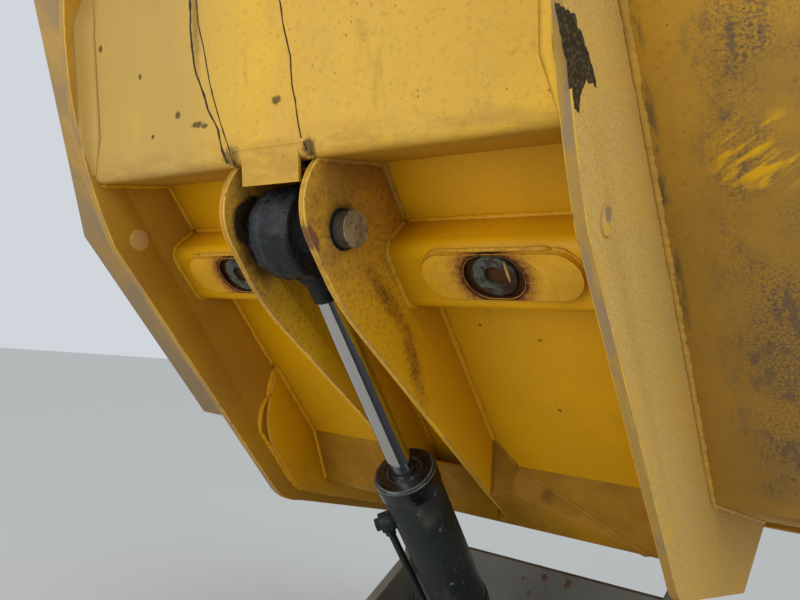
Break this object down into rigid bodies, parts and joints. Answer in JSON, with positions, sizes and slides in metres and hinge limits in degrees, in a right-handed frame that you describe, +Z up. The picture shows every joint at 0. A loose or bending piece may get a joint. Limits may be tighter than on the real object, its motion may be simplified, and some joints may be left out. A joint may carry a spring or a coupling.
{
  "type": "tipping skip with tip ram and hinge frame of a site dumper",
  "caption": "Forward-tipping steel skip of a site dumper, shown raised, with its tip ram and the hinge frame that carries them.",
  "frame": {"origin": "middle of the hinge frame's bolted base, on its underside", "axes": "+X to the machine's right, +Y its way forward, +Z up; mirror symmetric about X = 0 but for the ram's port and pipe"},
  "size_m": [2.404, 1.8368, 2.3556],
  "materials": {
    "skip_paint": "yellow enamel, dusty and worn",
    "frame_paint": "dark grey enamel, dusty",
    "ram_paint": "satin dark green-grey enamel",
    "rod_chrome": "hard chrome, polished",
    "greasy_steel": "black with old grease",
    "pin_steel": "bare steel, lightly rusted"
  },
  "bodies": {
    "frame": {"frame_base": "frame_paint", "frame_beam": "frame_paint", "frame_gusset_left": "frame_paint", "frame_gusset_right": "frame_paint", "frame_rear_plate": "frame_paint", "frame_side_left": "frame_paint", "frame_side_right": "frame_paint", "hinge_keeper_left": "frame_paint", "hinge_keeper_right": "frame_paint", "hinge_pin_left": "frame_paint", "hinge_pin_right": "frame_paint", "ram_foot_lug_left": "frame_paint", "ram_foot_lug_right": "frame_paint", "ram_foot_pin": "pin_steel"},
    "skip": {"cross_channel_left": "skip_paint", "cross_channel_right": "skip_paint", "head_pin_left": "pin_steel", "head_pin_right": "pin_steel", "hinge_lug_left": "skip_paint", "hinge_lug_right": "skip_paint", "lip_bar": "skip_paint", "pad_boss_left": "skip_paint", "pad_boss_right": "skip_paint", "ram_ear_left": "skip_paint", "ram_ear_right": "skip_paint", "rest_pad_left": "skip_paint", "rest_pad_right": "skip_paint", "rim_corner_left": "skip_paint", "rim_corner_right": "skip_paint", "rim_rear": "skip_paint", "rim_side_left": "skip_paint", "rim_side_right": "skip_paint", "skip_corner_left": "skip_paint", "skip_corner_right": "skip_paint", "skip_doubler_left": "skip_paint", "skip_doubler_right": "skip_paint", "skip_floor": "skip_paint", "skip_front_box": "skip_paint", "skip_pan": "skip_paint", "skip_ramp": "skip_paint", "skip_rear_box": "skip_paint", "skip_rear_wall": "skip_paint", "skip_side_left": "skip_paint", "skip_side_right": "skip_paint", "skip_web_left": "skip_paint", "skip_web_right": "skip_paint", "toe_gusset_left": "skip_paint", "toe_gusset_right": "skip_paint", "toe_plate": "skip_paint"},
    "barrel": {"ram_barrel": "ram_paint", "ram_foot_eye": "ram_paint", "ram_gland": "ram_paint", "ram_pipe": "ram_paint", "ram_port_lower": "ram_paint", "ram_port_upper": "ram_paint"},
    "rod": {"ram_rod": "rod_chrome", "rod_eye": "greasy_steel", "rod_eye_pin": "greasy_steel"}
  },
  "joints": [
    {"name": "skip_tip", "type": "hinge", "parent": "frame", "child": "skip", "pos_m": [0, 0.152, 0.561], "axis": [-1, 0, 0], "range_deg": [-45, 20]},
    {"name": "ram_swing", "type": "hinge", "parent": "frame", "child": "barrel", "pos_m": [0, 0, 0.115], "axis": [-1, 0, 0], "range_deg": [-40.5, 18.2]},
    {"name": "rod_slide", "type": "slide", "parent": "barrel", "child": "rod", "axis": [0, -0.663, 0.7486], "range_m": [-0.3425, 0.153]}
  ],
  "couplings": [
    {"joint": "ram_swing", "follows": "skip_tip", "ratio": 0.8922},
    {"joint": "rod_slide", "follows": "skip_tip", "m_per_rad": 0.4344}
  ]
}
